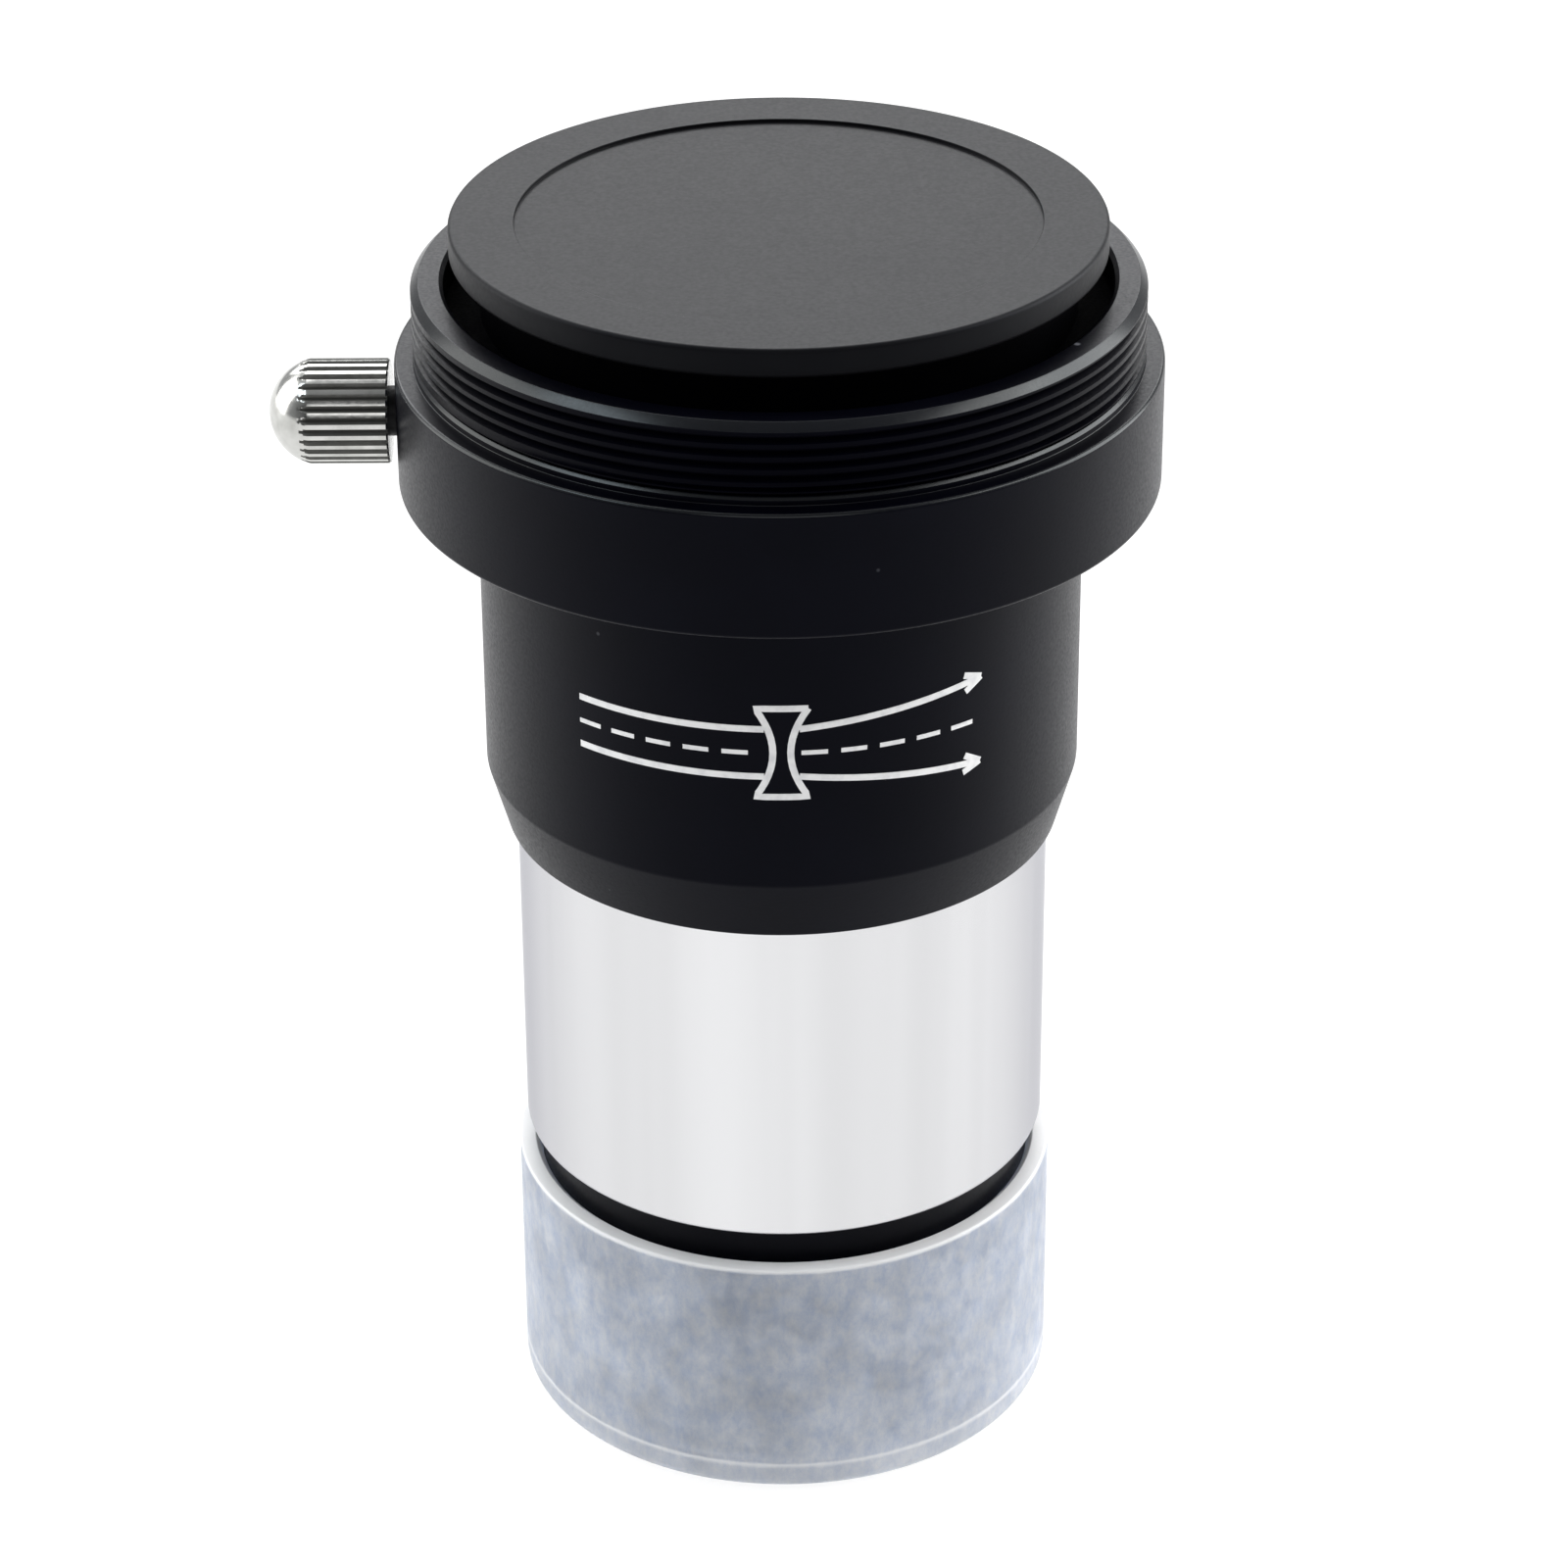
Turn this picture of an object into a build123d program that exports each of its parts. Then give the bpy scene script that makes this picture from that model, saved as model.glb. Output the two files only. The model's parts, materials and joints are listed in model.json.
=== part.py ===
"""A 1.25 inch barlow lens with a camera thread, standing on its bottom dust cap.

Millimetres. The optical axis is Z, and Z = 0 is the foot of the bottom dust cap.
The thumbscrew points along -X.
"""

import os
from math import sqrt

from build123d import *

os.makedirs("parts", exist_ok=True)

# ---------------------------------------------------------------- driving dimensions

# The standard barrel that focusers and eyepieces share: 1.25 inch
barrel_size = 31.75
eyepiece_clearance = 0.05

# Bottom dust cap: a soft translucent cup that grips the lens cell
foot_cap_height = 15.95
foot_cap_floor = 1.6
foot_cap_wall = 1.0
foot_cap_lip_wall = 1.32
foot_cap_lip_height = 2.0
foot_cap_lip_round = 0.35
foot_cap_foot_round = 0.7
foot_cap_grip_clearance = 0.08
foot_cap_floor_gap = 0.1

# Lens cell: screws into the foot of the nosepiece and takes filters in its own mouth
cell_step = 0.875
cell_length = 16.35
cell_edge_break = 0.25
cell_mouth_wall = 0.75
cell_stub_length = 4.2
cell_stub_wall = 1.6
filter_thread_pitch = 0.6
filter_thread_depth = 3.5
filter_thread_clearance = 0.05
filter_thread_groove = 0.46
filter_thread_groove_depth = 0.3
mouth_chamfer = 0.3

# Negative doublet: a biconcave crown cemented to a flint meniscus
lens_diameter = 20.0
lens_land = 0.4
lens_fit_clearance = 0.05
lens_seat_gap = 0.02
crown_upper_curve = 20.0
cement_curve = 19.0
flint_lower_curve = 42.0
crown_middle = 1.3
flint_middle = 3.1
cement_gap = 0.01
seat_ledge = 0.8
seat_thickness = 1.0
seat_below_cell_top = 2.45

# Ring that holds the doublet up against its seat
retaining_ring_height = 1.8
retaining_ring_thread_step = 0.4
retaining_ring_width = 1.5
retaining_ring_slot = 1.0
retaining_ring_slot_depth = 0.8
retaining_ring_chamfer = 0.4

# Nosepiece: the plated tube that slides into a focuser
nosepiece_length = 21.05
nosepiece_wall = 2.275
nosepiece_edge_break = 0.35
nosepiece_thread_relief = 0.6
spigot_step = 0.775
spigot_length = 5.1
spigot_clearance = 0.05
spigot_end_gap = 0.2

# Knife-edged baffle in the nosepiece
baffle_width = 3.08
baffle_thickness = 1.2
baffle_edge = 0.2
baffle_height_in_nosepiece = 14.0
baffle_clearance = 0.02

# Eyepiece holder: body, collar and camera thread turned from one piece
body_wall = 1.7
body_taper_step = 0.625
body_taper_height = 3.85
body_length = 21.85
collar_shoulder = 1.1
collar_height = 7.55
collar_edge_break = 0.3
camera_thread_diameter = 42.0
camera_thread_height = 4.8
camera_thread_pitch = 0.75
camera_thread_groove = 0.49
camera_thread_groove_depth = 0.42
camera_thread_lead_in = 0.42
camera_thread_relief_depth = 0.6
camera_thread_relief_height = 0.7
camera_thread_wall = 1.9
counterbore_depth = 2.0
counterbore_edge_break = 0.3

# Split brass ring that spreads the thumbscrew's push round the eyepiece
clamp_ring_width = 5.0
clamp_ring_thickness = 1.1
clamp_ring_proud_gap = 0.2
clamp_ring_outer_gap = 0.15
clamp_ring_side_gap = 0.2
clamp_ring_split = 3.0
clamp_ring_edge_break = 0.2

# Thumbscrew: a fluted, domed knob on a black stud, with a plastic pad in the stud's tip
knob_diameter = 6.1
knob_fluted_length = 4.6
knob_dome_length = 2.4
knob_gap = 0.35
knob_edge_break = 0.1
flute_count = 28
flute_side = 0.28
stud_diameter = 2.9
stud_pitch = 0.5
stud_groove_depth = 0.2
stud_thread_length = 3.8
stud_hole_clearance = 0.05
stud_in_knob = 3.5
pad_wall = 0.45
pad_length = 1.4
pad_proud = 0.5
pad_clearance = 0.05
pad_ring_gap = 0.35

# Top dust cap: a rigid plug with a neck that stands in the counterbore
top_cap_diameter = 37.5
top_cap_flange = 1.7
top_cap_stand = 1.65
top_cap_edge_round = 0.35
top_cap_recess_diameter = 30.0
top_cap_recess_depth = 0.2
top_cap_wall = 1.3
top_cap_neck_wall = 2.5
top_cap_plug_length = 8.5
top_cap_plug_clearance = 0.05
top_cap_plug_chamfer = 0.6
top_cap_seat_gap = 0.02

# ---------------------------------------------------------------- heights, from the foot up

cell_bottom = foot_cap_floor + foot_cap_floor_gap
cell_top = cell_bottom + cell_length
cell_stub_top = cell_top + cell_stub_length
holder_bottom = cell_top + nosepiece_length
body_bottom = holder_bottom + body_taper_height
collar_bottom = holder_bottom + body_length
collar_top = collar_bottom + collar_height
holder_top = collar_top + camera_thread_height
counterbore_floor = holder_top - counterbore_depth
spigot_top = holder_bottom + spigot_length
bore_bottom = spigot_top + spigot_end_gap
screw_height = collar_bottom + collar_height / 2
flange_bottom = holder_top + top_cap_stand
top_cap_top = flange_bottom + top_cap_flange

# ---------------------------------------------------------------- radii

nosepiece_radius = barrel_size / 2
nosepiece_bore_radius = nosepiece_radius - nosepiece_wall
spigot_radius = nosepiece_radius - spigot_step
cell_radius = nosepiece_radius - cell_step
filter_thread_radius = cell_radius - cell_mouth_wall
cell_stub_radius = filter_thread_radius - filter_thread_clearance
bore_radius = (barrel_size + eyepiece_clearance) / 2
body_radius = bore_radius + body_wall
taper_end_radius = nosepiece_radius + body_taper_step
camera_thread_radius = camera_thread_diameter / 2
collar_radius = camera_thread_radius + collar_shoulder
counterbore_radius = camera_thread_radius - camera_thread_wall
lens_radius = lens_diameter / 2
lens_clear_radius = lens_radius - lens_land
clamp_ring_inner_radius = bore_radius + clamp_ring_proud_gap
clamp_ring_outer_radius = clamp_ring_inner_radius + clamp_ring_thickness
clamp_groove_radius = clamp_ring_outer_radius + clamp_ring_outer_gap
knob_radius = knob_diameter / 2
stud_radius = stud_diameter / 2
pad_radius = stud_radius - pad_wall


def sag(curve_radius, rim_radius):
    """How far a spherical surface falls from its middle to its rim."""
    return curve_radius - sqrt(curve_radius**2 - rim_radius**2)


def groove_middles(top, bottom, pitch, width):
    """Heights of a thread's grooves on Z, one for each pitch from the top down."""
    count = int((top - bottom - width) / pitch) + 1
    return [top - width / 2 - turn * pitch for turn in range(count)]


# ---------------------------------------------------------------- bottom dust cap

foot_cap_lip_radius = cell_radius + foot_cap_grip_clearance
foot_cap_radius = foot_cap_lip_radius + foot_cap_lip_wall
foot_cap_inner_radius = foot_cap_radius - foot_cap_wall
foot_cap_lip_bottom = foot_cap_height - foot_cap_lip_height

with BuildPart() as bottom_dust_cap:
    with BuildSketch(Plane.XZ) as cup_outline:
        with BuildLine():
            Polyline(
                (0, 0),
                (foot_cap_radius, 0),
                (foot_cap_radius, foot_cap_height),
                (foot_cap_lip_radius, foot_cap_height),
                (foot_cap_lip_radius, foot_cap_lip_bottom),
                (foot_cap_inner_radius, foot_cap_lip_bottom),
                (foot_cap_inner_radius, foot_cap_floor),
                (0, foot_cap_floor),
                close=True,
            )
        make_face()
        foot_corner = cup_outline.vertices().sort_by(Axis.Y)[:2].sort_by(Axis.X)[-1]
        fillet(foot_corner, radius=foot_cap_foot_round)
        fillet(cup_outline.vertices().sort_by(Axis.Y)[-2:], radius=foot_cap_lip_round)
    revolve(axis=Axis.Z)
bottom_dust_cap.part.label = "bottom_dust_cap"
export_step(bottom_dust_cap.part, "parts/bottom_dust_cap.step")

# ---------------------------------------------------------------- cemented doublet

lens_seat = cell_top - seat_below_cell_top
crown_rim_top = lens_seat - lens_seat_gap
crown_top_middle = crown_rim_top - sag(crown_upper_curve, lens_clear_radius)
crown_bottom_middle = crown_top_middle - crown_middle
flint_top_middle = crown_bottom_middle - cement_gap
flint_bottom_middle = flint_top_middle - flint_middle
flint_rim_bottom = flint_bottom_middle - sag(flint_lower_curve, lens_clear_radius)
cement_fall = sag(cement_curve, lens_radius)

with BuildPart() as crown_lens:
    with BuildSketch(Plane.XZ):
        with BuildLine():
            RadiusArc(
                (0, crown_top_middle),
                (lens_clear_radius, crown_rim_top),
                -crown_upper_curve,
            )
            Line((lens_clear_radius, crown_rim_top), (lens_radius, crown_rim_top))
            Line((lens_radius, crown_rim_top), (lens_radius, crown_bottom_middle - cement_fall))
            RadiusArc(
                (lens_radius, crown_bottom_middle - cement_fall),
                (0, crown_bottom_middle),
                -cement_curve,
            )
            Line((0, crown_bottom_middle), (0, crown_top_middle))
        make_face()
    revolve(axis=Axis.Z)
crown_lens.part.label = "crown_lens"
export_step(crown_lens.part, "parts/crown_lens.step")

with BuildPart() as flint_lens:
    with BuildSketch(Plane.XZ):
        with BuildLine():
            RadiusArc(
                (lens_radius, flint_top_middle - cement_fall),
                (0, flint_top_middle),
                -cement_curve,
            )
            Line((lens_radius, flint_top_middle - cement_fall), (lens_radius, flint_rim_bottom))
            Line((lens_radius, flint_rim_bottom), (lens_clear_radius, flint_rim_bottom))
            RadiusArc(
                (lens_clear_radius, flint_rim_bottom),
                (0, flint_bottom_middle),
                -flint_lower_curve,
            )
            Line((0, flint_bottom_middle), (0, flint_top_middle))
        make_face()
    revolve(axis=Axis.Z)
flint_lens.part.label = "flint_lens"
export_step(flint_lens.part, "parts/flint_lens.step")

# ---------------------------------------------------------------- retaining ring

ring_top = flint_rim_bottom - lens_seat_gap
ring_bottom = ring_top - retaining_ring_height
lens_pocket_radius = lens_radius + lens_fit_clearance
ring_pocket_radius = lens_pocket_radius + retaining_ring_thread_step
ring_outer_radius = ring_pocket_radius - lens_fit_clearance
ring_inner_radius = ring_outer_radius - retaining_ring_width
ring_pocket_top = ring_top + lens_seat_gap

with BuildPart() as lens_retaining_ring:
    with BuildSketch(Plane.XZ) as ring_outline:
        with BuildLine():
            Polyline(
                (ring_inner_radius, ring_bottom),
                (ring_outer_radius, ring_bottom),
                (ring_outer_radius, ring_top),
                (ring_inner_radius, ring_top),
                close=True,
            )
        make_face()
        inner_corner = ring_outline.vertices().sort_by(Axis.Y)[:2].sort_by(Axis.X)[0]
        chamfer(inner_corner, length=retaining_ring_chamfer)
    revolve(axis=Axis.Z)
    with BuildSketch(Plane.XY.offset(ring_bottom)):
        Rectangle(retaining_ring_slot, 2 * ring_outer_radius)
    extrude(amount=retaining_ring_slot_depth, mode=Mode.SUBTRACT)
lens_retaining_ring.part.label = "lens_retaining_ring"
export_step(lens_retaining_ring.part, "parts/lens_retaining_ring.step")

# ---------------------------------------------------------------- lens cell

seat_top = lens_seat + seat_thickness
seat_radius = lens_radius - seat_ledge
upper_bore_radius = cell_stub_radius - cell_stub_wall
mouth_bottom = cell_bottom + filter_thread_depth
stub_grooves = groove_middles(
    cell_stub_top - mouth_chamfer, cell_top, filter_thread_pitch, filter_thread_groove
)

with BuildPart() as lens_cell:
    with BuildSketch(Plane.XZ) as cell_outline:
        with BuildLine():
            Polyline(
                (filter_thread_radius, cell_bottom),
                (cell_radius, cell_bottom),
                (cell_radius, cell_top),
                (cell_stub_radius, cell_top),
                (cell_stub_radius, cell_stub_top),
                (upper_bore_radius, cell_stub_top),
                (upper_bore_radius, seat_top),
                (seat_radius, seat_top),
                (seat_radius, lens_seat),
                (lens_pocket_radius, lens_seat),
                (lens_pocket_radius, ring_pocket_top),
                (ring_pocket_radius, ring_pocket_top),
                (ring_pocket_radius, mouth_bottom),
                (filter_thread_radius, mouth_bottom),
                close=True,
            )
        make_face()
        chamfer(cell_outline.vertices().group_by(Axis.X)[-1], length=cell_edge_break)
        mouth_corner = cell_outline.vertices().sort_by(Axis.Y)[:2].sort_by(Axis.X)[0]
        chamfer(mouth_corner, length=mouth_chamfer)
    revolve(axis=Axis.Z)
    with BuildSketch(Plane.XZ):
        for middle in stub_grooves:
            with Locations((cell_stub_radius, middle)):
                Polygon(
                    (0, filter_thread_groove / 2),
                    (0, -filter_thread_groove / 2),
                    (-filter_thread_groove_depth, 0),
                    align=None,
                )
    revolve(axis=Axis.Z, mode=Mode.SUBTRACT)
lens_cell.part.label = "lens_cell"
export_step(lens_cell.part, "parts/lens_cell.step")

# ---------------------------------------------------------------- nosepiece

stub_pocket_top = cell_stub_top + nosepiece_thread_relief

with BuildPart() as nosepiece_barrel:
    with BuildSketch(Plane.XZ) as tube_outline:
        with BuildLine():
            Polyline(
                (filter_thread_radius, cell_top),
                (nosepiece_radius, cell_top),
                (nosepiece_radius, holder_bottom),
                (spigot_radius, holder_bottom),
                (spigot_radius, spigot_top),
                (nosepiece_bore_radius, spigot_top),
                (nosepiece_bore_radius, stub_pocket_top),
                (filter_thread_radius, stub_pocket_top),
                close=True,
            )
        make_face()
        chamfer(
            tube_outline.vertices().sort_by(Axis.Y)[:2].sort_by(Axis.X)[-1],
            length=nosepiece_edge_break,
        )
    revolve(axis=Axis.Z)
nosepiece_barrel.part.label = "nosepiece_barrel"
export_step(nosepiece_barrel.part, "parts/nosepiece_barrel.step")

# ---------------------------------------------------------------- light baffle

baffle_bottom = cell_top + baffle_height_in_nosepiece
baffle_radius = nosepiece_bore_radius - baffle_clearance
baffle_edge_radius = baffle_radius - baffle_width
baffle_middle = baffle_bottom + baffle_thickness / 2

with BuildPart() as light_baffle:
    with BuildSketch(Plane.XZ):
        with BuildLine():
            Polyline(
                (baffle_radius, baffle_bottom),
                (baffle_radius, baffle_bottom + baffle_thickness),
                (baffle_edge_radius, baffle_middle + baffle_edge / 2),
                (baffle_edge_radius, baffle_middle - baffle_edge / 2),
                close=True,
            )
        make_face()
    revolve(axis=Axis.Z)
light_baffle.part.label = "light_baffle"
export_step(light_baffle.part, "parts/light_baffle.step")

# ---------------------------------------------------------------- eyepiece holder

socket_radius = spigot_radius + spigot_clearance
groove_width = clamp_ring_width + clamp_ring_side_gap
groove_bottom = screw_height - groove_width / 2
relief_radius = camera_thread_radius - camera_thread_relief_depth
stud_hole_radius = stud_radius + stud_hole_clearance
camera_crest = camera_thread_pitch - camera_thread_groove
camera_grooves = groove_middles(
    holder_top - camera_thread_lead_in - camera_crest,
    collar_top + camera_thread_relief_height,
    camera_thread_pitch,
    camera_thread_groove,
)

with BuildPart() as eyepiece_holder:
    with BuildSketch(Plane.XZ) as holder_outline:
        with BuildLine():
            Polyline(
                (socket_radius, holder_bottom),
                (taper_end_radius, holder_bottom),
                (body_radius, body_bottom),
                (body_radius, collar_bottom),
                (collar_radius, collar_bottom),
                (collar_radius, collar_top),
                (relief_radius, collar_top),
                (relief_radius, collar_top + camera_thread_relief_height),
                (camera_thread_radius, collar_top + camera_thread_relief_height),
                (camera_thread_radius, holder_top),
                (counterbore_radius, holder_top),
                (counterbore_radius, counterbore_floor),
                (bore_radius, counterbore_floor),
                (bore_radius, bore_bottom),
                (socket_radius, bore_bottom),
                close=True,
            )
        make_face()
        chamfer(holder_outline.vertices().group_by(Axis.X)[-1], length=collar_edge_break)
        rim_corners = holder_outline.vertices().sort_by(Axis.Y)[-2:].sort_by(Axis.X)
        chamfer(rim_corners[-1], length=camera_thread_lead_in)
        chamfer(rim_corners[0], length=counterbore_edge_break)
    revolve(axis=Axis.Z)
    with BuildSketch(Plane.XZ):
        for middle in camera_grooves:
            with Locations((camera_thread_radius, middle)):
                Polygon(
                    (0, camera_thread_groove / 2),
                    (0, -camera_thread_groove / 2),
                    (-camera_thread_groove_depth, 0),
                    align=None,
                )
    revolve(axis=Axis.Z, mode=Mode.SUBTRACT)
    with BuildSketch(Plane.XY.offset(groove_bottom)):
        Circle(clamp_groove_radius)
        Circle(bore_radius, mode=Mode.SUBTRACT)
    extrude(amount=groove_width, mode=Mode.SUBTRACT)
    with BuildSketch(Plane.YZ.offset(-collar_radius)):
        with Locations((0, screw_height)):
            Circle(stud_hole_radius)
    extrude(amount=collar_radius - bore_radius, mode=Mode.SUBTRACT)
eyepiece_holder.part.label = "eyepiece_holder"
export_step(eyepiece_holder.part, "parts/eyepiece_holder.step")

# ---------------------------------------------------------------- clamp ring

with BuildPart() as clamp_ring:
    with BuildSketch(Plane.XZ) as band_outline:
        with BuildLine():
            Polyline(
                (clamp_ring_inner_radius, groove_bottom),
                (clamp_ring_outer_radius, groove_bottom),
                (clamp_ring_outer_radius, groove_bottom + clamp_ring_width),
                (clamp_ring_inner_radius, groove_bottom + clamp_ring_width),
                close=True,
            )
        make_face()
        chamfer(band_outline.vertices().group_by(Axis.X)[0], length=clamp_ring_edge_break)
    revolve(axis=Axis.Z)
    with BuildSketch(Plane.XY.offset(groove_bottom)):
        with Locations((clamp_ring_outer_radius, 0)):
            Rectangle(2 * clamp_ring_outer_radius, clamp_ring_split)
    extrude(amount=clamp_ring_width, mode=Mode.SUBTRACT)
clamp_ring.part.label = "clamp_ring"
export_step(clamp_ring.part, "parts/clamp_ring.step")

# ---------------------------------------------------------------- thumbscrew

# Along the screw, distances are measured from the optical axis, outwards on -X.
pad_tip = clamp_ring_outer_radius + pad_ring_gap
stud_tip = pad_tip + pad_proud
knob_inner = collar_radius + knob_gap
flutes_end = knob_inner + knob_fluted_length
knob_tip = flutes_end + knob_dome_length
knob_dome_radius = (knob_radius**2 + knob_dome_length**2) / (2 * knob_dome_length)
stud_end = knob_inner + stud_in_knob
pad_pocket_depth = pad_length - pad_proud + pad_clearance
screw_axis = Axis((0, 0, screw_height), (-1, 0, 0))


def screw_plane(distance):
    """The plane across the screw at a distance from the optical axis, facing outwards."""
    return Plane(origin=(-distance, 0, screw_height), x_dir=(0, 1, 0), z_dir=(-1, 0, 0))


with BuildPart() as thumbscrew_knob:
    with BuildSketch(Plane.XZ):
        with BuildLine():
            Polyline(
                (-stud_end, screw_height),
                (-stud_end, screw_height + stud_radius),
                (-knob_inner, screw_height + stud_radius),
                (-knob_inner, screw_height + knob_radius - knob_edge_break),
                (-knob_inner - knob_edge_break, screw_height + knob_radius),
                (-flutes_end, screw_height + knob_radius),
            )
            RadiusArc(
                (-flutes_end, screw_height + knob_radius),
                (-knob_tip, screw_height),
                -knob_dome_radius,
            )
            Line((-knob_tip, screw_height), (-stud_end, screw_height))
        make_face()
    revolve(axis=screw_axis)
    with BuildSketch(screw_plane(knob_inner)):
        with PolarLocations(knob_radius, flute_count):
            Rectangle(flute_side, flute_side, rotation=45)
    extrude(amount=knob_fluted_length + knob_dome_length, mode=Mode.SUBTRACT)
thumbscrew_knob.part.label = "thumbscrew_knob"
export_step(thumbscrew_knob.part, "parts/thumbscrew_knob.step")

with BuildPart() as thumbscrew_stud:
    with BuildSketch(screw_plane(stud_tip)):
        Circle(stud_radius)
    extrude(amount=stud_end - stud_tip)
    with BuildSketch(screw_plane(stud_tip)):
        Circle(pad_radius + pad_clearance)
    extrude(amount=pad_pocket_depth, mode=Mode.SUBTRACT)
    with BuildSketch(Plane.XZ):
        for turn in range(int(stud_thread_length / stud_pitch)):
            with Locations((-stud_tip - (turn + 1) * stud_pitch, screw_height + stud_radius)):
                Polygon(
                    (-stud_groove_depth, 0),
                    (stud_groove_depth, 0),
                    (0, -stud_groove_depth),
                    align=None,
                )
    revolve(axis=screw_axis, mode=Mode.SUBTRACT)
thumbscrew_stud.part.label = "thumbscrew_stud"
export_step(thumbscrew_stud.part, "parts/thumbscrew_stud.step")

with BuildPart() as thumbscrew_tip_pad:
    with BuildSketch(screw_plane(pad_tip)):
        Circle(pad_radius)
    extrude(amount=pad_length)
thumbscrew_tip_pad.part.label = "thumbscrew_tip_pad"
export_step(thumbscrew_tip_pad.part, "parts/thumbscrew_tip_pad.step")

# ---------------------------------------------------------------- top dust cap

plug_radius = bore_radius - top_cap_plug_clearance
plug_inner_radius = plug_radius - top_cap_wall
neck_radius = plug_inner_radius + top_cap_neck_wall
neck_bottom = counterbore_floor + top_cap_seat_gap
plug_bottom = counterbore_floor - top_cap_plug_length
recess_floor = top_cap_top - top_cap_recess_depth
hollow_top = recess_floor - top_cap_wall

with BuildPart() as top_dust_cap:
    with BuildSketch(Plane.XZ) as plug_outline:
        with BuildLine():
            Polyline(
                (0, hollow_top),
                (plug_inner_radius, hollow_top),
                (plug_inner_radius, plug_bottom),
                (plug_radius, plug_bottom),
                (plug_radius, neck_bottom),
                (neck_radius, neck_bottom),
                (neck_radius, flange_bottom),
                (top_cap_diameter / 2, flange_bottom),
                (top_cap_diameter / 2, top_cap_top),
                (top_cap_recess_diameter / 2, top_cap_top),
                (top_cap_recess_diameter / 2, recess_floor),
                (0, recess_floor),
                close=True,
            )
        make_face()
        fillet(plug_outline.vertices().group_by(Axis.X)[-1], radius=top_cap_edge_round)
        plug_corner = plug_outline.vertices().sort_by(Axis.Y)[:2].sort_by(Axis.X)[-1]
        chamfer(plug_corner, length=top_cap_plug_chamfer)
    revolve(axis=Axis.Z)
top_dust_cap.part.label = "top_dust_cap"
export_step(top_dust_cap.part, "parts/top_dust_cap.step")
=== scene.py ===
import json
import math

import bmesh
import bpy
import numpy as np
from mathutils import Matrix, Vector


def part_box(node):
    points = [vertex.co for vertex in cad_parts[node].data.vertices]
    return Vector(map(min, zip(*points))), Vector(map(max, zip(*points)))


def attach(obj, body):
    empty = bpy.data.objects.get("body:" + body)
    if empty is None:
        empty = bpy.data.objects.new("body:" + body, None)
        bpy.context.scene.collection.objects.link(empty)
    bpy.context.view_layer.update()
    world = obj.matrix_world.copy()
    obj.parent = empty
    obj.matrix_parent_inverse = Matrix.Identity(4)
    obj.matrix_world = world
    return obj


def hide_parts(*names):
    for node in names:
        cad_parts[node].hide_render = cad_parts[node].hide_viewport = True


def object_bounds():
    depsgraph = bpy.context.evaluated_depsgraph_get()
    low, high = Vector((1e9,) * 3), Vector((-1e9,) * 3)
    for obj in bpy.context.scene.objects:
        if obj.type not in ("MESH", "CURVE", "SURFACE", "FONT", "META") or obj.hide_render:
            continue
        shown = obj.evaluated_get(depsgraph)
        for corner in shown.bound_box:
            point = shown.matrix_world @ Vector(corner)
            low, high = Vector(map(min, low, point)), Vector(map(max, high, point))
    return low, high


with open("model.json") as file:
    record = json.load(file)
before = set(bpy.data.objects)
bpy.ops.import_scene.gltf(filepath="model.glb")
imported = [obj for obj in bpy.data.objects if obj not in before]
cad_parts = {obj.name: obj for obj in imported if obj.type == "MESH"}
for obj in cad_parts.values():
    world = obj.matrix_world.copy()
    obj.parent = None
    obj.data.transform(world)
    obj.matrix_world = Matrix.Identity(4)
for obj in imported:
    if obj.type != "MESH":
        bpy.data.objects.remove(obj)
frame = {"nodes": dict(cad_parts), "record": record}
cadLow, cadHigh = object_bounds()
scene = bpy.context.scene
mm = 0.001
fullTurn = 2 * math.pi
mounts = {m["name"]: m for m in frame["record"]["mounts"]}
print("frame loaded:", len(frame["nodes"]), "nodes")


# ---- shape helpers: outlines are (radius, height) and get turned about Z

def softCorner(before, corner, after, rounding, steps=5):
    # the short arc that rounds one corner of an outline
    p = Vector(corner)
    u = Vector(before) - p
    v = Vector(after) - p
    half = u.angle(v) / 2
    if rounding <= 0 or half > math.radians(88):
        return [tuple(p)]
    reach = min(rounding / math.tan(half), 0.48 * u.length, 0.48 * v.length)
    radius = reach * math.tan(half)
    u.normalize()
    v.normalize()
    centre = p + (u + v).normalized() * radius / math.sin(half)
    start = p + u * reach - centre
    end = p + v * reach - centre
    sweep = start.angle_signed(end)
    arc = []
    for step in range(steps + 1):
        angle = -sweep * step / steps
        x = start.x * math.cos(angle) - start.y * math.sin(angle)
        y = start.x * math.sin(angle) + start.y * math.cos(angle)
        arc.append((centre.x + x, centre.y + y))
    return arc


def softOutline(points, closed=True):
    # (radius, height, rounding) in mm at each corner, back as rows in metres
    flat = [(p[0], p[1]) for p in points]
    rows = []
    last = len(flat) - 1
    for i, p in enumerate(points):
        rounding = p[2] if len(p) > 2 else 0.0
        if not closed and i in (0, last):
            rows.append(flat[i])
            continue
        rows += softCorner(flat[i - 1], flat[i], flat[(i + 1) % len(flat)], rounding)
    return [(r * mm, z * mm) for r, z in rows]


def columnAngles(columns):
    return np.linspace(0, fullTurn, columns + 1)


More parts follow.
